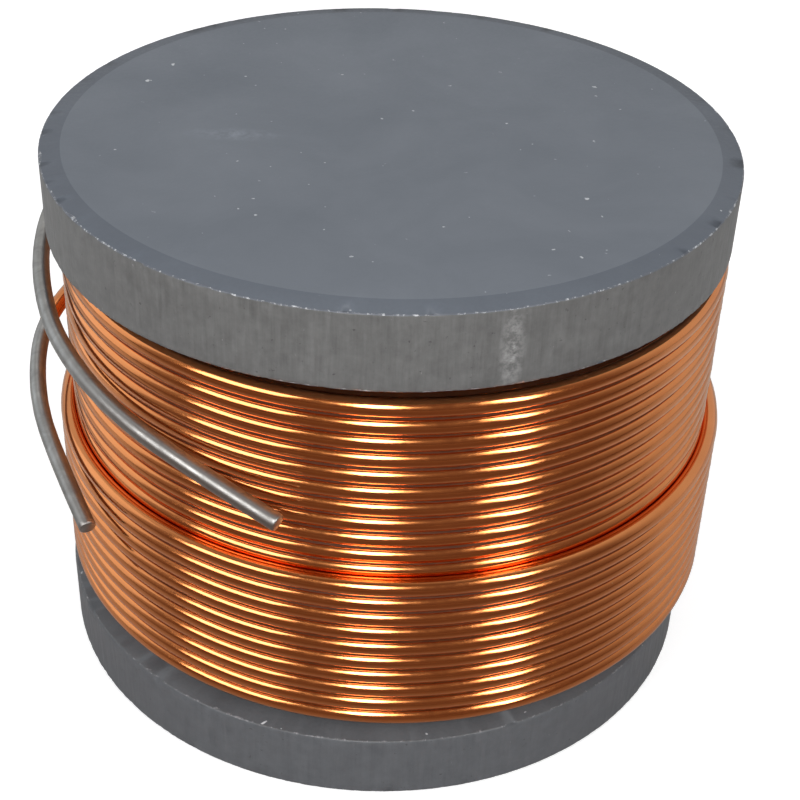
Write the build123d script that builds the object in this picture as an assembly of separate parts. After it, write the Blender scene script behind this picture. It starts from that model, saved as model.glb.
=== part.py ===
from build123d import *
import os
from math import cos, radians, sin, sqrt, tan

# Drum-core inductor: an iron-powder rod glued between two iron-powder discs, wound with enamelled
# copper wire whose two ends are tinned. Millimetres, +Z up, origin on the rod's axis at the height
# where the lower disc stands.

# ---- core ----
disc_diameter = 56.0
upper_disc_thickness = 6.5
lower_disc_thickness = 6.0
bevel_width = 1.7            # shallow pressed bevel on a disc's outer face, along the face
bevel_height = 0.25          # and down the rim
inner_edge_chamfer = 0.15
rod_diameter = 21.4
rod_length = 32.7
rod_chamfer = 0.3
glue_thickness = 0.15        # epoxy film at each end of the rod
glue_margin = 0.4            # the film stops this far inside the rod's edge
upper_disc_shift = (-0.5, 0.1)    # the discs are glued by eye, a little off the rod's axis
lower_disc_shift = (-0.7, -0.6)

# ---- wire and winding ----
bare_wire_diameter = 1.4
enamel_thickness = 0.0325
rod_clearance = 0.07         # between the rod and the first layer
bottom_gap = 1.02            # between the lower disc and the lowest turn
groove_angle = 20            # how far up a turn the bonding varnish fills the groove beside it
least_top_gap = 1.0          # and at least this much between the upper disc and the top turn
winding_margin = 0.4         # the full layers stay at least this far inside the discs' rim
last_layer_turns = 10        # one more layer covers only the lower half

# ---- leads ----
exit_clearance = 0.17        # the inner end leaves the winding this far under the upper disc
start_tinned_after = 3       # tinning begins halfway between this point of the route and the next
finish_tinned_after = 3
bend_share = 0.45            # share of the shorter run beside a bend that its arc takes up
lead_end_rounding = 0.15

# ---- derived sizes ----
wire_radius = bare_wire_diameter / 2 + enamel_thickness
pitch = 2 * wire_radius
nest_angle = 30              # direction from a turn to its neighbour in the next layer
layer_step = pitch * sqrt(3) / 2
rod_radius = rod_diameter / 2
winding_bore = rod_radius + rod_clearance
window_height = rod_length + 2 * glue_thickness
window_bottom = lower_disc_thickness
window_top = window_bottom + window_height

# Layers of full height alternate: a long one, then one with a turn fewer that lies in its grooves.
long_layer_turns = int((window_height - bottom_gap - least_top_gap) / pitch)
room_for_layers = disc_diameter / 2 - winding_margin - winding_bore - pitch
full_layers = 2 * int(room_for_layers / layer_step / 2) + 1    # so the outermost is a long one
full_layers_radius = winding_bore + pitch + (full_layers - 1) * layer_step
lowest_turn = window_bottom + bottom_gap + wire_radius
last_layer_top = lowest_turn + wire_radius + (last_layer_turns - 1) * pitch

# Routes of the two leads: (degrees round the rod from the front, radius, height). They are bent by
# hand, so the numbers are uneven; each is counted from where the wire would touch the winding, and
# from the height where the inner end leaves it or the last turn lies.
middle_radius = (winding_bore + full_layers_radius) / 2
start_touch = full_layers_radius + wire_radius
start_exit = window_top - exit_clearance - wire_radius
start_route = [
    (165, winding_bore + 1.2, start_exit - 2.1),
    (-150, middle_radius + 0.9, start_exit),
    (-128, start_touch + 0.1, start_exit),
    (-113, start_touch + 1.7, start_exit - 0.8),
    (-102, start_touch + 1.7, start_exit - 1.9),
    (-90, start_touch + 1.5, start_exit - 3.0),
    (-76, start_touch + 1.1, start_exit - 3.8),
    (-62, start_touch + 1.2, start_exit - 4.8),
    (-46, start_touch + 1.2, start_exit - 6.1),
    (-31, start_touch + 1.0, start_exit - 7.7),
    (-15, start_touch + 1.9, start_exit - 9.8),
]
finish_touch = full_layers_radius + layer_step + wire_radius
finish_route = [
    (-140, finish_touch - 3.0, last_layer_top - 0.7),
    (-124, finish_touch - 0.3, last_layer_top + 1.9),
    (-108, finish_touch + 0.3, last_layer_top + 4.4),
    (-97, finish_touch + 0.6, last_layer_top + 4.4),
    (-89, finish_touch + 1.4, last_layer_top + 3.2),
    (-77, finish_touch + 1.2, last_layer_top + 1.0),
    (-62, finish_touch + 0.9, last_layer_top + 0.4),
    (-50, finish_touch + 1.4, last_layer_top - 1.9),
]


def disc(thickness, bottom, shift, outward):
    """One pressed disc; its bevelled outer face looks up if outward is 1 and down if it is -1."""
    radius = disc_diameter / 2
    inner = 0 if outward > 0 else thickness
    outer = thickness - inner
    outline = Polyline(
        (0, inner),
        (radius - inner_edge_chamfer, inner),
        (radius, inner + outward * inner_edge_chamfer),
        (radius, outer - outward * bevel_height),
        (radius - bevel_width, outer),
        (0, outer),
        close=True,
    )
    return Pos(*shift, bottom) * revolve(Plane.XZ * make_face(outline), Axis.Z)


def core_rod():
    """The cylindrical rod between the two glue films."""
    rod = extrude(Circle(rod_radius), rod_length)
    rod = chamfer(rod.edges().filter_by(GeomType.CIRCLE), rod_chamfer)
    return Pos(0, 0, window_bottom + glue_thickness) * rod


def glue_film(bottom):
    """Cured epoxy between one end of the rod and a disc."""
    return Pos(0, 0, bottom) * extrude(Circle(rod_radius - glue_margin), glue_thickness)


def layer_radius(layer):
    """Radius of a layer's wire centres; layer 0 lies on the rod."""
    return winding_bore + wire_radius + layer * layer_step


def turn_arc(layer, height, start_angle, end_angle):
    """Clockwise part of one turn's outline, between two angles seen from the wire's centre."""
    angles = (start_angle, (start_angle + end_angle) / 2, end_angle)
    centre = layer_radius(layer)
    return ThreePointArc(
        *[
            (centre + wire_radius * cos(radians(a)), height + wire_radius * sin(radians(a)))
            for a in angles
        ]
    )


def winding_outline():
    """Arcs round the section of the winding, clockwise from the top of its bore."""
    outer, last = full_layers - 1, full_layers
    bottom = lowest_turn
    top = bottom + (long_layer_turns - 1) * pitch
    last_bottom = bottom + wire_radius
    bare_turns = long_layer_turns - last_layer_turns
    shoulder = 90 - groove_angle

    arcs = [turn_arc(layer, top, 180, 0) for layer in range(0, outer, 2)]
    arcs.append(turn_arc(outer, top, 180, -shoulder))
    for turn in range(1, bare_turns - 1):
        arcs.append(turn_arc(outer, top - turn * pitch, shoulder, -shoulder))
    arcs.append(turn_arc(outer, last_layer_top + wire_radius, shoulder, groove_angle - nest_angle))
    arcs.append(turn_arc(last, last_layer_top, 180 - nest_angle - groove_angle, -shoulder))
    for turn in range(1, last_layer_turns - 1):
        arcs.append(turn_arc(last, last_layer_top - turn * pitch, shoulder, -shoulder))
    arcs.append(turn_arc(last, last_bottom, shoulder, nest_angle + groove_angle - 180))
    arcs.append(turn_arc(outer, bottom, nest_angle - groove_angle, -180))
    arcs += [turn_arc(layer, bottom, 0, -180) for layer in reversed(range(0, outer, 2))]
    return arcs


def winding_body():
    """All the turns, bonded with varnish into one body with a plain bore."""
    arcs = winding_outline()
    edges = list(arcs)
    for arc, following in zip(arcs, arcs[1:] + arcs[:1]):
        edges.append(Line(arc @ 1, following @ 0))
    return revolve(Plane.XZ * make_face(edges), Axis.Z)


def route_points(route):
    """A lead's route as points: 0 degrees is the front, -Y, and negative angles are on its left."""
    return [
        Vector(r * sin(radians(azimuth)), -r * cos(radians(azimuth)), z)
        for azimuth, r, z in route
    ]


def bend_radii(points):
    """Radius of the bend at each inner point of a route."""
    radii = []
    for before, at, after in zip(points, points[1:], points[2:]):
        shorter = min((at - before).length, (after - at).length)
        half_turn = radians((at - before).get_angle(after - at)) / 2
        radii.append(bend_share * shorter / tan(half_turn))
    return radii


def bent_wire(points, radii, radius):
    """A round wire along straight runs joined by tangent arcs."""
    path = FilletPolyline(*points, radius=radii)
    return sweep(Plane(origin=path @ 0, z_dir=path % 0) * Circle(radius), path=path)


def wire_end(route, tinned_after):
    """One end of the wire: its enamelled stretch, and its tinned stretch up to the cut end."""
    points = route_points(route)
    radii = bend_radii(points)
    tin_line = (points[tinned_after] + points[tinned_after + 1]) / 2
    enamelled = bent_wire(
        points[: tinned_after + 1] + [tin_line], radii[:tinned_after], wire_radius
    )
    tinned = bent_wire(
        [tin_line] + points[tinned_after + 1 :], radii[tinned_after:], bare_wire_diameter / 2
    )
    cut_end = tinned.edges().filter_by(GeomType.CIRCLE).sort_by_distance(points[-1])[0]
    return enamelled, fillet(cut_end, lead_end_rounding)


start_enamelled, start_lead = wire_end(start_route, start_tinned_after)
finish_enamelled, finish_lead = wire_end(finish_route, finish_tinned_after)

nodes = {
    "lower_disc": disc(lower_disc_thickness, 0, lower_disc_shift, -1),
    "lower_adhesive": glue_film(window_bottom),
    "core_rod": core_rod(),
    "upper_adhesive": glue_film(window_top - glue_thickness),
    "upper_disc": disc(upper_disc_thickness, window_top, upper_disc_shift, 1),
    "winding": winding_body() + start_enamelled + finish_enamelled,
    "start_lead": start_lead,
    "finish_lead": finish_lead,
}

os.makedirs("parts", exist_ok=True)
for name, solid in nodes.items():
    export_step(solid, f"parts/{name}.step")
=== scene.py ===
import math
import random
import bmesh
import bpy
from mathutils import Matrix, Vector, noise


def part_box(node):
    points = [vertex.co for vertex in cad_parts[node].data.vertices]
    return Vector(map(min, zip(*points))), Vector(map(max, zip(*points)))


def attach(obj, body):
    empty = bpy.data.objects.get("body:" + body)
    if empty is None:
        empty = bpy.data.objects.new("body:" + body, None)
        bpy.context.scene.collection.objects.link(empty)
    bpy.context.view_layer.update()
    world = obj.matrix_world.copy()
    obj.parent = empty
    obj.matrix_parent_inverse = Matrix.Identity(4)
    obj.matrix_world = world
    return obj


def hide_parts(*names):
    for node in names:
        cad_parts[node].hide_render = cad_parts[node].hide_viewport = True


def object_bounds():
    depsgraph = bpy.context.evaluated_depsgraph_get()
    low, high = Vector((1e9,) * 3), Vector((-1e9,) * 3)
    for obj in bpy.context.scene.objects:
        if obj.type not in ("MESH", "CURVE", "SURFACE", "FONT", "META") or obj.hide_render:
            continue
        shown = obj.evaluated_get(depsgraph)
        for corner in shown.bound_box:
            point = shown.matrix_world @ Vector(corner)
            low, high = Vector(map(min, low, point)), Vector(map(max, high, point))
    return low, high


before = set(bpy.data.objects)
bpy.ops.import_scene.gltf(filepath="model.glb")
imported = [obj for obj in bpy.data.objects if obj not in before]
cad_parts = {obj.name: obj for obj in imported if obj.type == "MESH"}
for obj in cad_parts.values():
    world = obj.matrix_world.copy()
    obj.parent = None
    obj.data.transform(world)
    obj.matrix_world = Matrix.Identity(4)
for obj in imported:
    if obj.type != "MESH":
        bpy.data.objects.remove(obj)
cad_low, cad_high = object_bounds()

MM = 0.001
TAU = 2 * math.pi
DIM_ROOM = (0.15, 0.10, 0.08)      # what glossy surfaces mirror in front of the object
PALE_ROOM = (0.60, 0.60, 0.60)     # and behind it

# ---- the camera: where it aims, and from where ----
CAMERA_AIM = Vector((0.9, 0.1, 19.4)) * MM
CAMERA_DISTANCE = 144 * MM
CAMERA_ELEVATION = 34.28
CAMERA_AZIMUTH = -0.67
CAMERA_ROLL = 2.16
CAMERA_LENS = 72.36

# ---- the wire and the winding, as in the part's source ----
BARE_RADIUS = 0.7 * MM
WIRE_RADIUS = 0.7325 * MM
PITCH = 2 * WIRE_RADIUS
LAYER_STEP = PITCH * math.sqrt(3) / 2
BORE_RADIUS = 10.77 * MM
LONG_LAYER_TURNS = 21
FULL_LAYERS = 13
LAST_LAYER_TURNS = 10
LOWEST_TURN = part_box("winding")[0].z + WIRE_RADIUS
TOP_TURN = LOWEST_TURN + (LONG_LAYER_TURNS - 1) * PITCH
LAST_LAYER_TOP = LOWEST_TURN + WIRE_RADIUS + (LAST_LAYER_TURNS - 1) * PITCH
CROSSING_BULGE = 0.12 * MM     # a turn rides up a little where it crosses the one below
TURN_WAVE = 0.04 * MM          # and is never perfectly round
GROOVE_FILL = 0.34 * MM        # how far out from the turns' centres the dark fill reaches into their grooves, as painted shade
OUTER_CROSSINGS = (-72, 22)    # where each turn of the outer full layer shifts down, and over how
LAST_CROSSINGS = (-172, 24)    # many degrees; and the same in the last layer

# ---- the leads: (degrees round the rod from the front, radius and height in mm) ----
START_TINNED_AFTER = 3         # tinning begins halfway between this point and the next
FINISH_TINNED_AFTER = 5
START_ROUTE = [
    (165, 12.0, 36.0),
    (-150, 20.0, 38.1),
    (-128, 28.3, 38.1),
    (-113, 29.8, 37.3),
    (-102, 29.85, 36.2),
    (-90, 29.65, 35.1),
    (-76, 29.3, 34.3),
    (-62, 29.4, 33.3),
    (-46, 29.4, 32.0),
    (-31, 29.2, 30.4),
    (-15, 30.1, 28.3),
]
FINISH_ROUTE = [
    (-172, 28.0, 21.67),
    (-160, 28.3, 21.7),
    (-145, 28.8, 22.0),
    (-124, 29.2, 24.2),
    (-108, 29.8, 26.1),
    (-97, 30.1, 26.1),
    (-89, 30.8, 24.9),
    (-77, 30.6, 22.8),
    (-62, 30.3, 21.9),
    (-50, 30.8, 19.8),
]

# ---- the discs ----
BEVEL_WIDTH = 1.7 * MM
BEVEL_HEIGHT = 0.25 * MM
PALE_SMEAR = ((-13.2, -1.4, 45.5), (4.6, 1.3, 1.0))       # a pale mark on the upper one's face, and a painted highlight on its rim where the right lamp shines: centre and half size in millimetres
RIM_PAINTED_HIGHLIGHT = ((8.1, -26.6, 42.0), (1.1, 1.1, 4.5))       # half size in millimetres

# ---- how finely the meshes are divided ----
DISC_SEGMENTS = 1024
TURN_SEGMENTS, WIRE_SIDES = 144, 16
HIDDEN_SEGMENTS, HIDDEN_SIDES = 96, 8
LEAD_SAMPLES = 24


# ------------------------------------------------------------------ camera, light and floor
def add_camera():
    data = bpy.data.cameras.new("camera")
    data.lens = CAMERA_LENS
    data.sensor_width = 36
    data.clip_start = 10 * MM
    data.clip_end = 10
    camera = bpy.data.objects.new("camera", data)
    azimuth, elevation = math.radians(CAMERA_AZIMUTH), math.radians(CAMERA_ELEVATION)
    back = Vector(
        (
            math.sin(azimuth) * math.cos(elevation),
            -math.cos(azimuth) * math.cos(elevation),
            math.sin(elevation),
        )
    )
    turn = (-back).to_track_quat("-Z", "Y").to_matrix().to_4x4()
    roll = Matrix.Rotation(math.radians(CAMERA_ROLL), 4, "Z")
    camera.matrix_world = Matrix.Translation(CAMERA_AIM + back * CAMERA_DISTANCE) @ turn @ roll
    bpy.context.collection.objects.link(camera)
    bpy.context.scene.camera = camera


def add_softbox(name, shape, azimuth, elevation, distance, width, height, power, colour=(1, 1, 1)):
    """An area lamp that faces the object; azimuth 0 is the front and 90 the right."""
    data = bpy.data.lights.new(name, "AREA")
    data.shape = shape
    data.size, data.size_y = width, height
    data.energy = power
    data.color = colour
    lamp = bpy.data.objects.new(name, data)
    a, e = math.radians(azimuth), math.radians(elevation)
    out = Vector((math.sin(a) * math.cos(e), -math.cos(a) * math.cos(e), math.sin(e)))
    target = Vector((0, 0, cad_high.z / 2))
    lamp.location = target + out * distance
    lamp.rotation_euler = (-out).to_track_quat("-Z", "Y").to_euler()
    bpy.context.collection.objects.link(lamp)


def add_lights():
    """Two bright windows with softer surrounds, a strip on the left, and weak fill lights.

    After the shape come azimuth, elevation, distance, width, height and power, in metres and watts.
    """
    add_softbox("front_window", "ELLIPSE", -5, 32, 0.70, 0.16, 0.42, 1.9)
    add_softbox("front_surround", "ELLIPSE", -5, 32, 0.72, 0.30, 0.26, 0.22)
    add_softbox("right_window", "ELLIPSE", 41, 30, 0.60, 0.10, 0.42, 1.0)
    add_softbox("right_surround", "ELLIPSE", 41, 30, 0.62, 0.20, 0.26, 0.16)
    add_softbox("left_strip", "RECTANGLE", -49, 30, 0.60, 0.32, 0.28, 1.2)
    add_softbox("far_left_fill", "RECTANGLE", -105, 22, 0.70, 0.50, 0.50, 0.38, (0.80, 0.91, 1.0))
    add_softbox("top_fill", "RECTANGLE", 180, 70, 0.60, 0.50, 0.40, 0.3)


def light_path_mix(tree, plain, mirrored, seen):
    """Gives `seen` to camera rays, `mirrored` to glossy and transmission rays, `plain` to the rest."""
    nodes, links = tree.nodes, tree.links
    path = nodes.new("ShaderNodeLightPath")
    either = nodes.new("ShaderNodeMath")
    either.operation = "MAXIMUM"
    links.new(path.outputs["Is Glossy Ray"], either.inputs[0])
    links.new(path.outputs["Is Transmission Ray"], either.inputs[1])
    shader = plain
    for chooser, chosen in ((either.outputs[0], mirrored), (path.outputs["Is Camera Ray"], seen)):
        mix = nodes.new("ShaderNodeMixShader")
        links.new(chooser, mix.inputs[0])
        links.new(shader, mix.inputs[1])
        links.new(chosen, mix.inputs[2])
        shader = mix.outputs[0]
    return shader


def dim_in_front(tree, socket, front_y, back_y, front, back):
    """A colour that goes from `front` to `back` as the coordinate's Y goes from front_y to back_y."""
    place = tree.nodes.new("ShaderNodeTexCoord")
    parts = tree.nodes.new("ShaderNodeSeparateXYZ")
    tree.links.new(place.outputs[socket], parts.inputs[0])
    share = tree.nodes.new("ShaderNodeMapRange")
    share.interpolation_type = "SMOOTHSTEP"
    share.inputs["From Min"].default_value = front_y
    share.inputs["From Max"].default_value = back_y
    tree.links.new(parts.outputs["Y"], share.inputs["Value"])
    mix = tree.nodes.new("ShaderNodeMix")
    mix.data_type = "RGBA"
    tree.links.new(share.outputs["Result"], mix.inputs[0])
    mix.inputs[6].default_value = (*front, 1)
    mix.inputs[7].default_value = (*back, 1)
    return mix.outputs[2]


def add_world():
    """A soft studio: white where it is seen, and in reflections pale behind and dim in front."""
    world = bpy.data.worlds.new("studio")
    world.use_nodes = True
    tree = world.node_tree
    tree.nodes.clear()
    plain, mirrored, seen = [tree.nodes.new("ShaderNodeBackground") for _ in range(3)]
    for background, strength in ((plain, 0.33), (seen, 1.0)):
        background.inputs["Color"].default_value = (1, 1, 1, 1)
        background.inputs["Strength"].default_value = strength
    room = dim_in_front(tree, "Generated", -0.45, 0.35, DIM_ROOM, PALE_ROOM)
    tree.links.new(room, mirrored.inputs["Color"])
    output = tree.nodes.new("ShaderNodeOutputWorld")
    shader = light_path_mix(tree, plain.outputs[0], mirrored.outputs[0], seen.outputs[0])
    tree.links.new(shader, output.inputs["Surface"])
    bpy.context.scene.world = world


def add_floor():
    """A pale floor: lit and shadowed as a surface, with white added where a ray looks at it."""
    mesh = bpy.data.meshes.new("floor")
    half = 3.0
    z = cad_low.z
    corners = [(-half, -half, z), (half, -half, z), (half, half, z), (-half, half, z)]
    mesh.from_pydata(corners, [], [(0, 1, 2, 3)])
    floor = bpy.data.objects.new("floor", mesh)
    bpy.context.collection.objects.link(floor)
    material = bpy.data.materials.new("pale_floor")
    material.use_nodes = True
    tree = material.node_tree
    nodes, links = tree.nodes, tree.links
    nodes.clear()
    matte, dim_matte = nodes.new("ShaderNodeBsdfDiffuse"), nodes.new("ShaderNodeBsdfDiffuse")
    matte.inputs["Color"].default_value = (0.80, 0.80, 0.80, 1)
    links.new(dim_in_front(tree, "Object", -0.06, 0.02, DIM_ROOM, PALE_ROOM), dim_matte.inputs["Color"])
    glow = nodes.new("ShaderNodeEmission")
    place, reach = nodes.new("ShaderNodeTexCoord"), nodes.new("ShaderNodeVectorMath")
    reach.operation = "LENGTH"
    links.new(place.outputs["Object"], reach.inputs[0])
    fade = nodes.new("ShaderNodeMapRange")
    for name, value in zip(("From Min", "From Max", "To Min", "To Max"), (0.05, 0.60, 0.48, 0.78)):
        fade.inputs[name].default_value = value
    links.new(reach.outputs["Value"], fade.inputs["Value"])
    links.new(fade.outputs["Result"], glow.inputs["Strength"])
    both = nodes.new("ShaderNodeAddShader")
    links.new(matte.outputs[0], both.inputs[0])
    links.new(glow.outputs[0], both.inputs[1])
    output = nodes.new("ShaderNodeOutputMaterial")
    shader = light_path_mix(tree, matte.outputs[0], dim_matte.outputs[0], both.outputs[0])
    links.new(shader, output.inputs["Surface"])
    mesh.materials.append(material)


# ------------------------------------------------------------------ material helpers
class Shader:
    """A material's node tree with one Principled shader, and short ways to add to it."""

    def __init__(self, name):
        self.material = bpy.data.materials.new(name)
        self.material.use_nodes = True
        self.tree = self.material.node_tree
        self.principled = self.tree.nodes["Principled BSDF"]
        self.place = self.node("ShaderNodeTexCoord").outputs["Object"]

    def node(self, kind, **settings):
        made = self.tree.nodes.new(kind)
        for key, value in settings.items():
            setattr(made, key, value)
        return made

    def link(self, source, target):
        self.tree.links.new(source, target)

    def set(self, **values):
        for name, value in values.items():
            self.principled.inputs[name.replace("_", " ")].default_value = value

    def mapped(self, scale):
        """Object coordinates in millimetres, stretched by 1/scale along each axis."""
        mapping = self.node("ShaderNodeMapping")
        mapping.inputs["Scale"].default_value = [1000 * s for s in scale]
        self.link(self.place, mapping.inputs["Vector"])
        return mapping.outputs["Vector"]

    def noise(self, scale, detail=3.0, roughness=0.55, distortion=0.0):
        """Noise whose features are about 1/scale millimetres; scale is one number or three."""
        scales = scale if isinstance(scale, tuple) else (scale,) * 3
        made = self.node("ShaderNodeTexNoise")
        made.inputs["Scale"].default_value = 1.0
        made.inputs["Detail"].default_value = detail
        made.inputs["Roughness"].default_value = roughness
        made.inputs["Distortion"].default_value = distortion
        self.link(self.mapped(scales), made.inputs["Vector"])
        return made.outputs["Fac"]

    def spot(self, centre, half_size, cloudy):
        """A soft uneven spot, 1 at its centre and 0 at its edge; its place and size in millimetres."""
        mapping = self.node("ShaderNodeMapping", vector_type="TEXTURE")
        mapping.inputs["Location"].default_value = [c * MM for c in centre]
        mapping.inputs["Scale"].default_value = [h * MM for h in half_size]
        self.link(self.place, mapping.inputs["Vector"])
        length = self.node("ShaderNodeVectorMath", operation="LENGTH")
        self.link(mapping.outputs["Vector"], length.inputs[0])
        inside = self.map_range(length.outputs["Value"], 0.2, 1.0, 1.0, 0.0)
        broken = self.map_range(self.noise(cloudy, 3, 0.7), 0.40, 0.65, 0.0, 0.8)
        return self.math("MULTIPLY", inside, broken)

    def map_range(self, value, low, high, to_low, to_high):
        made = self.node("ShaderNodeMapRange")
        self.link(value, made.inputs["Value"])
        limits = {"From Min": low, "From Max": high, "To Min": to_low, "To Max": to_high}
        for name, number in limits.items():
            made.inputs[name].default_value = number
        return made.outputs["Result"]

    def ramp(self, value, stops):
        """A colour ramp; stops are (position, colour)."""
        made = self.node("ShaderNodeValToRGB")
        elements = made.color_ramp.elements
        while len(elements) < len(stops):
            elements.new(0.5)
        for element, (position, colour) in zip(elements, stops):
            element.position = position
            element.color = (*colour, 1)
        self.link(value, made.inputs["Fac"])
        return made.outputs["Color"]

    def mix(self, factor, first, second, blend="MIX"):
        """Mixes two colours, each an output or three numbers; factor is an output or a number."""
        made = self.node("ShaderNodeMix", data_type="RGBA", blend_type=blend)
        targets = (made.inputs[0], made.inputs[6], made.inputs[7])
        for source, target in zip((factor, first, second), targets):
            if isinstance(source, bpy.types.NodeSocket):
                self.link(source, target)
            elif isinstance(source, (int, float)):
                target.default_value = source
            else:
                target.default_value = (*source, 1)
        return made.outputs[2]

    def math(self, operation, first, second):
        made = self.node("ShaderNodeMath", operation=operation)
        for source, target in ((first, made.inputs[0]), (second, made.inputs[1])):
            if isinstance(source, bpy.types.NodeSocket):
                self.link(source, target)
            else:
                target.default_value = source
        return made.outputs[0]

    def bump(self, *heights):
        """Chained bumps; each is (height output, depth in millimetres)."""
        normal = None
        for height, depth in heights:
            made = self.node("ShaderNodeBump")
            made.inputs["Strength"].default_value = 1.0
            made.inputs["Distance"].default_value = depth * MM
            self.link(height, made.inputs["Height"])
            if normal is not None:
                self.link(normal, made.inputs["Normal"])
            normal = made.outputs["Normal"]
        self.link(normal, self.principled.inputs["Normal"])


# ------------------------------------------------------------------ materials
def iron_face(name, low, high, smear=None):
    """Pressed iron powder on a disc's flat face: fine grain and faint cloudy mottling."""
    s = Shader(name)
    cloud = s.noise(0.09, 4, 0.6, 0.4)
    grain = s.noise(3.2, 3, 0.6)
    base = s.ramp(cloud, [(0.30, low), (0.72, high)])
    base = s.mix(0.35, base, s.ramp(grain, [(0.3, low), (0.75, high)]))
    if smear:
        base = s.mix(s.spot(*smear, cloudy=0.9), base, [1.35 * c for c in high])
    specks = s.noise(1.1, 2, 0.5)
    base = s.mix(s.map_range(specks, 0.728, 0.765, 0, 0.7), base, (0.70, 0.71, 0.73))
    s.link(base, s.principled.inputs["Base Color"])
    s.set(Metallic=0.0, Specular_IOR_Level=0.30)
    s.link(s.map_range(grain, 0.3, 0.7, 0.42, 0.58), s.principled.inputs["Roughness"])
    s.bump((grain, 0.012), (s.noise(0.35, 3), 0.02))
    return s.material


def iron_rim(name, low, high, streak=None):
    """A disc's rim: faint upright streaks from the pressing die, dark pits and small bright scuffs."""
    s = Shader(name)
    streaks = s.noise((3.2, 3.2, 0.22), 4, 0.6)
    mottle = s.noise(0.9, 4, 0.65)
    base = s.ramp(streaks, [(0.28, low), (0.74, high)])
    base = s.mix(0.5, base, s.ramp(mottle, [(0.3, low), (0.7, high)]))
    # painted highlight: a given streak is a lighter upright patch where the right lamp shines on the rim
    if streak:
        base = s.mix(s.spot(*streak, cloudy=1.6), base, [2.2 * c for c in high])
    pits = s.noise(2.4, 2, 0.5)
    base = s.mix(s.map_range(pits, 0.70, 0.76, 0, 0.6), base, (0.035, 0.035, 0.035))
    scuffs = s.noise((2.8, 2.8, 0.9), 3, 0.7)
    base = s.mix(s.map_range(scuffs, 0.71, 0.78, 0, 0.5), base, (0.42, 0.42, 0.42))
    s.link(base, s.principled.inputs["Base Color"])
    s.set(Metallic=0.0, Specular_IOR_Level=0.4)
    s.link(s.map_range(streaks, 0.3, 0.7, 0.36, 0.54), s.principled.inputs["Roughness"])
    s.bump((streaks, 0.012), (mottle, 0.02))
    return s.material


def iron_edge(name, dark, bright):
    """The sharp pressed edge: broken bright spots on the dark body, partly burrs of bare iron and partly
    painted glints where the edge catches the light.
    """
    s = Shader(name)
    flecks = s.noise(1.9, 4, 0.75)
    s.link(s.ramp(flecks, [(0.53, dark), (0.62, bright)]), s.principled.inputs["Base Color"])
    s.set(Metallic=0.0, Roughness=0.35)
    s.bump((flecks, 0.03))
    return s.material


def enamelled_copper():
    """Copper wire under clear amber enamel."""
    s = Shader("enamelled_copper")
    drawn = s.noise(0.16, 3, 0.6, 0.3)
    fine = s.noise(1.6, 3, 0.6)
    colour = s.ramp(drawn, [(0.30, (0.80, 0.290, 0.085)), (0.70, (0.89, 0.340, 0.110))])
    dust = s.noise(2.6, 2, 0.6)
    colour = s.mix(s.map_range(dust, 0.74, 0.80, 0, 0.5), colour, (0.95, 0.62, 0.36))
    s.link(colour, s.principled.inputs["Base Color"])
    s.set(Metallic=1.0, Coat_Weight=0.5, Coat_Roughness=0.12, Coat_IOR=1.6)
    s.principled.inputs["Coat Tint"].default_value = (1.0, 0.86, 0.66, 1)
    s.link(s.map_range(fine, 0.3, 0.7, 0.12, 0.17), s.principled.inputs["Roughness"])
    s.bump((s.noise(0.5, 2), 0.010), (fine, 0.0006))
    return s.material


def painted_groove_shade():
    """Painted shade deep in the grooves between the turns: dark amber on the fill behind them."""
    s = Shader("painted_groove_shade")
    s.link(
        s.ramp(s.noise(0.8, 3), [(0.3, (0.050, 0.013, 0.004)), (0.7, (0.090, 0.024, 0.006))]),
        s.principled.inputs["Base Color"],
    )
    s.set(Roughness=0.45, Specular_IOR_Level=0.15)
    s.bump((s.noise(1.5, 2), 0.03))
    return s.material


def tinned_wire():
    """Solder tinning: soft grey, slightly lumpy, with darker smears."""
    s = Shader("tinned_wire")
    lumps = s.noise(0.75, 3, 0.6, 0.5)
    fine = s.noise(3.5, 3, 0.65)
    colour = s.ramp(lumps, [(0.30, (0.29, 0.285, 0.275)), (0.70, (0.41, 0.405, 0.39))])
    colour = s.mix(s.map_range(fine, 0.58, 0.75, 0, 0.4), colour, (0.28, 0.275, 0.265))
    s.link(colour, s.principled.inputs["Base Color"])
    s.set(Metallic=1.0)
    s.link(s.map_range(lumps, 0.3, 0.7, 0.46, 0.34), s.principled.inputs["Roughness"])
    s.bump((lumps, 0.02), (fine, 0.004))
    return s.material


def epoxy():
    """The cured glue film."""
    s = Shader("cured_epoxy")
    s.link(
        s.ramp(s.noise(0.6, 3), [(0.3, (0.36, 0.27, 0.14)), (0.7, (0.48, 0.37, 0.21))]),
        s.principled.inputs["Base Color"],
    )
    s.set(Roughness=0.3)
    s.bump((s.noise(1.2, 2), 0.02))
    return s.material


# ------------------------------------------------------------------ mesh helpers
def add_piece(name, mesh, node, materials):
    """Links a mesh as a piece that rides on the root body and stands for one CAD node."""
    piece = bpy.data.objects.new(name, mesh)
    bpy.context.collection.objects.link(piece)
    for material in materials:
        mesh.materials.append(material)
    for face in mesh.polygons:
        face.use_smooth = True
    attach(piece, "root")
    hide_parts(node)
    return piece


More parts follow.
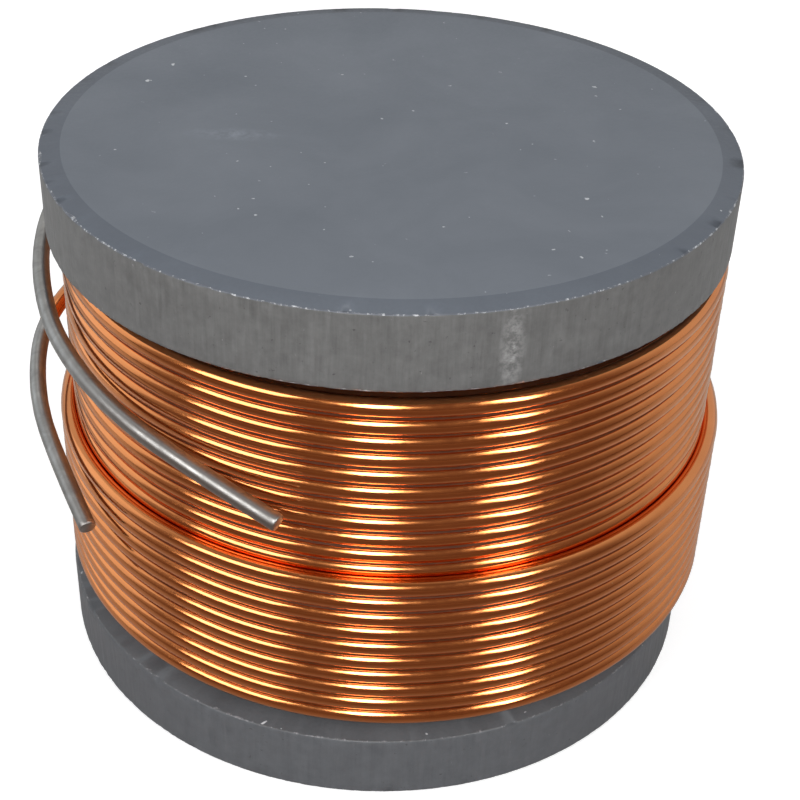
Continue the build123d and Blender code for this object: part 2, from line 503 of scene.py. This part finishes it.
def lathe(bm, profile, centre, segments, materials, wobble=None):
    """Turns a profile of (radius, height) round a centre; radius 0 at its ends closes it."""
    rings = []
    for index, (radius, height) in enumerate(profile):
        if radius == 0:
            rings.append([bm.verts.new((centre.x, centre.y, height))])
            continue
        ring = []
        for step in range(segments):
            angle = TAU * step / segments
            r, z = wobble(index, angle, radius, height) if wobble else (radius, height)
            ring.append(bm.verts.new((centre.x + r * math.cos(angle), centre.y + r * math.sin(angle), z)))
        rings.append(ring)
    for index, (ring, following) in enumerate(zip(rings, rings[1:])):
        for step in range(segments):
            after = (step + 1) % segments
            corners = []
            for vert in (
                ring[step % len(ring)],
                ring[after % len(ring)],
                following[after % len(following)],
                following[step % len(following)],
            ):
                if vert not in corners:
                    corners.append(vert)
            face = bm.faces.new(corners)
            face.material_index = materials[index]
    return rings


def finished_mesh(bm, name):
    bmesh.ops.recalc_face_normals(bm, faces=bm.faces)
    mesh = bpy.data.meshes.new(name)
    bm.to_mesh(mesh)
    bm.free()
    return mesh


def tube(bm, points, radii, sides, closed=False):
    """A round tube along points; radii is one radius or a function of the point's number."""
    count = len(points)
    rings = []
    for i, point in enumerate(points):
        before = points[i - 1] if closed or i > 0 else point
        after = points[(i + 1) % count] if closed or i < count - 1 else point
        ahead = (after - before).normalized()
        side = ahead.cross(Vector((0, 0, 1))).normalized()
        up = side.cross(ahead)
        radius = radii(i) if callable(radii) else radii
        ring = []
        for k in range(sides):
            angle = TAU * k / sides
            ring.append(bm.verts.new(point + radius * (math.cos(angle) * side + math.sin(angle) * up)))
        rings.append(ring)
    pairs = list(zip(rings, rings[1:]))
    if closed:
        pairs.append((rings[-1], rings[0]))
    for ring, following in pairs:
        for k in range(sides):
            after = (k + 1) % sides
            bm.faces.new((ring[k], ring[after], following[after], following[k]))
    if not closed:
        bm.faces.new(rings[0])
        bm.faces.new(rings[-1])


def at(azimuth, radius, height):
    """A point by azimuth in radians (0 in front, negative on the left), radius and height."""
    return Vector((radius * math.sin(azimuth), -radius * math.cos(azimuth), height))


# ------------------------------------------------------------------ the discs
def disc_profile(low, high, radius, face_up):
    """Profile from the outer face's middle, over the bevel and rim, to the inner face's middle.

    With it come the numbers of the points where the bevel, the sharp edge and the inner edge begin.
    """
    outer, inner = (high, low) if face_up else (low, high)
    sign = 1 if face_up else -1
    profile = [(0, outer)]
    face_rings = 6
    flat = radius - BEVEL_WIDTH
    profile += [(flat * (i + 1) / face_rings, outer) for i in range(face_rings - 1)]
    profile += [(flat - 0.15 * MM, outer), (flat, outer - sign * 0.01 * MM)]
    bevelled = len(profile) - 1
    profile += [(flat + 0.15 * MM, outer - sign * 0.045 * MM)]
    profile += [(radius - 0.09 * MM, outer - sign * (BEVEL_HEIGHT - 0.02 * MM))]
    edge = len(profile)
    profile += [(radius - 0.05 * MM, outer - sign * BEVEL_HEIGHT)]
    profile += [(radius, outer - sign * (BEVEL_HEIGHT + 0.07 * MM))]
    rim_rings = 6
    top, bottom = outer - sign * 0.45 * MM, inner + sign * 0.25 * MM
    profile += [(radius, top + (bottom - top) * i / rim_rings) for i in range(rim_rings + 1)]
    under = len(profile)
    profile += [(radius - 0.04 * MM, inner + sign * 0.06 * MM), (radius - 0.15 * MM, inner)]
    profile += [(radius * 0.75, inner), (radius * 0.4, inner), (0, inner)]
    return profile, bevelled, edge, under


def add_disc(name, node, face_up, materials):
    """One disc; the materials are for the face, the bevel, the sharp edges and the rim."""
    low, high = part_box(node)
    centre = (low + high) / 2
    radius = (high.x - low.x) / 2
    profile, bevelled, edge, under = disc_profile(low.z, high.z, radius, face_up)
    seed = 3.0 if face_up else 11.0
    ragged = 0.14 * MM if face_up else -0.05 * MM     # how far the inner edge is broken away

    def wobble(index, angle, r, z):
        """Small chips along both edges, and a rim that isn't perfectly round; only ever inwards."""
        if index in (edge - 1, edge, edge + 1, under, under + 1):
            where = Vector((math.cos(angle) * 60, math.sin(angle) * 60, seed + index * 7))
            r -= abs(noise.noise(where)) * 0.07 * MM
            r -= max(0.0, noise.noise(where * 0.31) - 0.28) * 0.5 * MM
        if index in (under - 1, under):
            where = Vector((math.cos(angle) * 110, math.sin(angle) * 110, seed))
            z += (abs(noise.noise(where)) + abs(noise.noise(where * 0.4))) * ragged
        return r, z

    face, bevel, sharp, rim = range(4)
    chosen = []
    for index in range(len(profile) - 1):
        if index < bevelled:
            chosen.append(face)
        elif index < edge - 1:
            chosen.append(bevel)
        elif index <= edge or index == under:
            chosen.append(sharp)
        else:
            chosen.append(rim if index < under else face)
    bm = bmesh.new()
    lathe(bm, profile, centre, DISC_SEGMENTS, chosen, wobble)
    mesh = finished_mesh(bm, name)
    add_piece(name, mesh, node, materials)


# ------------------------------------------------------------------ the winding
def layer_radius(layer):
    """Radius of a layer's wire centres; layer 0 lies on the rod."""
    return BORE_RADIUS + WIRE_RADIUS + layer * LAYER_STEP


def smooth_step(value):
    value = min(1.0, max(0.0, value))
    return value * value * (3 - 2 * value)


def layer_path(radius, top, turns, crossings, sense, seed):
    """Points along parallel turns, from the top one down; each shifts down a pitch where it crosses.

    crossings are the azimuth where the path starts and each crossing ends, and a crossing's width,
    both in degrees; sense is 1 if the path descends with growing azimuth.
    """
    cross_at, cross_width = crossings
    rng = random.Random(seed)
    widths = [cross_width / 360 * rng.uniform(0.75, 1.3) for _ in range(turns)]
    droops = [rng.uniform(-0.035, 0.035) * MM for _ in range(turns + 1)]
    points = []
    for step in range(turns * TURN_SEGMENTS + 1):
        turn = min(step // TURN_SEGMENTS, turns - 1)
        done = step / TURN_SEGMENTS - turn
        width = widths[turn]
        share = smooth_step((done - 1 + width) / width) if turn < turns - 1 else 0.0
        droop = droops[turn] + (droops[turn + 1] - droops[turn]) * share
        azimuth = math.radians(cross_at) + sense * TAU * done
        across = Vector((math.cos(azimuth), math.sin(azimuth), 0.0)) * 1.4
        wave = noise.noise(across + Vector((0, 0, turn * 3.7 + seed)))
        bulge = math.sin(math.pi * share) * CROSSING_BULGE
        out = min(radius + bulge + wave * TURN_WAVE, layer_radius(FULL_LAYERS) - 0.01 * MM)
        points.append(at(azimuth, out, top - PITCH * (turn + share) + droop))
    return points


def winding_core(bm):
    """The dark mass behind the visible turns, with the rod's bore, in the second material: painted shade
    in the grooves.
    """
    outer = layer_radius(FULL_LAYERS - 1) + GROOVE_FILL
    last = layer_radius(FULL_LAYERS) + GROOVE_FILL
    profile = [
        (BORE_RADIUS, LOWEST_TURN),
        (BORE_RADIUS, TOP_TURN),
        (outer, TOP_TURN),
        (outer, LAST_LAYER_TOP + 0.2 * MM),
        (last, LAST_LAYER_TOP),
        (last, LOWEST_TURN + WIRE_RADIUS),
        (outer, LOWEST_TURN),
    ]
    rings = lathe(bm, profile, Vector((0, 0, 0)), HIDDEN_SEGMENTS, [1] * (len(profile) - 1))
    for step in range(HIDDEN_SEGMENTS):
        after = (step + 1) % HIDDEN_SEGMENTS
        face = bm.faces.new((rings[-1][step], rings[-1][after], rings[0][after], rings[0][step]))
        face.material_index = 1


def spline_points(route):
    """Points along the smooth NURBS curve whose control points are the route."""
    data = bpy.data.curves.new("route", "CURVE")
    data.dimensions = "3D"
    spline = data.splines.new("NURBS")
    spline.points.add(len(route) - 1)
    for control, (azimuth, radius, height) in zip(spline.points, route):
        control.co = (*at(math.radians(azimuth), radius * MM, height * MM), 1)
    spline.order_u = 3
    spline.use_endpoint_u = True
    spline.resolution_u = LEAD_SAMPLES
    curve = bpy.data.objects.new("route", data)
    bpy.context.collection.objects.link(curve)
    mesh = bpy.data.meshes.new_from_object(curve)
    points = [v.co.copy() for v in mesh.vertices]
    bpy.data.objects.remove(curve)
    bpy.data.curves.remove(data)
    return points


def split_at_tin(route, tinned_after):
    """The smooth route's points, in two lists that meet halfway along the named run."""
    points = spline_points(route)
    first, second = [
        at(math.radians(a), r * MM, z * MM) for a, r, z in route[tinned_after : tinned_after + 2]
    ]
    middle = (first + second) / 2
    cut = min(range(len(points)), key=lambda i: (points[i] - middle).length)
    return points[: cut + 1], points[cut:]


def add_winding(copper, groove_shade, start_copper, finish_copper):
    """The outer turns that show, the end turns of every layer, and the enamelled wire to the leads."""
    bm = bmesh.new()
    winding_core(bm)
    bare_turns = LONG_LAYER_TURNS - LAST_LAYER_TURNS + 1
    outer = layer_path(layer_radius(FULL_LAYERS - 1), TOP_TURN, bare_turns, OUTER_CROSSINGS, 1, 5)
    tube(bm, outer, WIRE_RADIUS, WIRE_SIDES)
    last = layer_path(
        layer_radius(FULL_LAYERS), LAST_LAYER_TOP, LAST_LAYER_TURNS, LAST_CROSSINGS, -1, 8
    )
    tube(bm, finish_copper[::-1] + last[1:], WIRE_RADIUS, WIRE_SIDES)
    azimuths = [TAU * i / HIDDEN_SEGMENTS for i in range(HIDDEN_SEGMENTS)]
    for number in range(FULL_LAYERS):
        offset = WIRE_RADIUS if number % 2 else 0
        heights = [LOWEST_TURN + offset]
        if number < FULL_LAYERS - 1:
            heights.append(TOP_TURN - offset)
        for height in heights:
            ring = [at(azimuth, layer_radius(number), height) for azimuth in azimuths]
            tube(bm, ring, WIRE_RADIUS, HIDDEN_SIDES, closed=True)
    tube(bm, start_copper, WIRE_RADIUS, WIRE_SIDES)
    mesh = finished_mesh(bm, "winding_turns")
    add_piece("winding_turns", mesh, "winding", [copper, groove_shade])


# ------------------------------------------------------------------ the tinned leads
def add_lead(name, node, points, material, seed):
    """A tinned end: slightly lumpy along its length, with a rounded tip."""
    ahead = (points[-1] - points[-2]).normalized()
    body = points[:-1] + [points[-1] - ahead * back * MM for back in (0.14, 0.05, 0.0)]
    count = len(body)

    def radius(i):
        """A little lumpy, and rounded over the last two rings."""
        lump = 1 - 0.04 * abs(noise.noise(Vector((i * 0.11, seed, 0.0))))
        return BARE_RADIUS * lump * {1: 0.80, 2: 0.94}.get(count - i, 1.0)

    bm = bmesh.new()
    tube(bm, body, radius, WIRE_SIDES)
    mesh = finished_mesh(bm, name)
    add_piece(name, mesh, node, [material])


# ------------------------------------------------------------------ everything
def main():
    bpy.context.scene.view_settings.view_transform = "Standard"
    add_camera()
    add_world()
    add_lights()
    add_floor()

    # the groove material is painted shade, dark between the turns
    copper, groove_shade, tin = enamelled_copper(), painted_groove_shade(), tinned_wire()
    upper = [
        iron_face("upper_iron_face", (0.122, 0.138, 0.162), (0.170, 0.187, 0.214), PALE_SMEAR),
        # painted shade: the bevel ring is the face's iron in darker colours
        iron_face("upper_iron_bevel_painted_shade", (0.090, 0.102, 0.123), (0.126, 0.142, 0.167)),
        iron_edge("upper_iron_edge", (0.10, 0.11, 0.13), (0.48, 0.49, 0.51)),
        iron_rim("upper_iron_rim", (0.084, 0.084, 0.083), (0.148, 0.148, 0.146), RIM_PAINTED_HIGHLIGHT),
    ]
    # painted shade: the lower disc's face, bevel, edge and rim take darker colours than the upper disc's,
    # and its bevel is darker still than its face
    lower = [
        iron_face("lower_iron_face", (0.080, 0.084, 0.091), (0.118, 0.122, 0.130)),
        iron_face("lower_iron_bevel_painted_shade", (0.075, 0.078, 0.085), (0.110, 0.114, 0.122)),
        iron_edge("lower_iron_edge", (0.080, 0.083, 0.088), (0.20, 0.20, 0.21)),
        iron_rim("lower_iron_rim", (0.070, 0.074, 0.081), (0.104, 0.109, 0.118)),
    ]
    add_disc("upper_disc_pressed", "upper_disc", True, upper)
    add_disc("lower_disc_pressed", "lower_disc", False, lower)

    start_copper, start_tin = split_at_tin(START_ROUTE, START_TINNED_AFTER)
    finish_copper, finish_tin = split_at_tin(FINISH_ROUTE, FINISH_TINNED_AFTER)
    add_winding(copper, groove_shade, start_copper, finish_copper)
    add_lead("start_lead_tinned", "start_lead", start_tin, tin, 2.0)
    add_lead("finish_lead_tinned", "finish_lead", finish_tin, tin, 9.0)

    glue, rod = epoxy(), iron_rim("rod_iron", (0.10, 0.10, 0.105), (0.16, 0.16, 0.165))
    for node, material in (("core_rod", rod), ("lower_adhesive", glue), ("upper_adhesive", glue)):
        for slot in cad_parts[node].material_slots:
            slot.material = material


main()
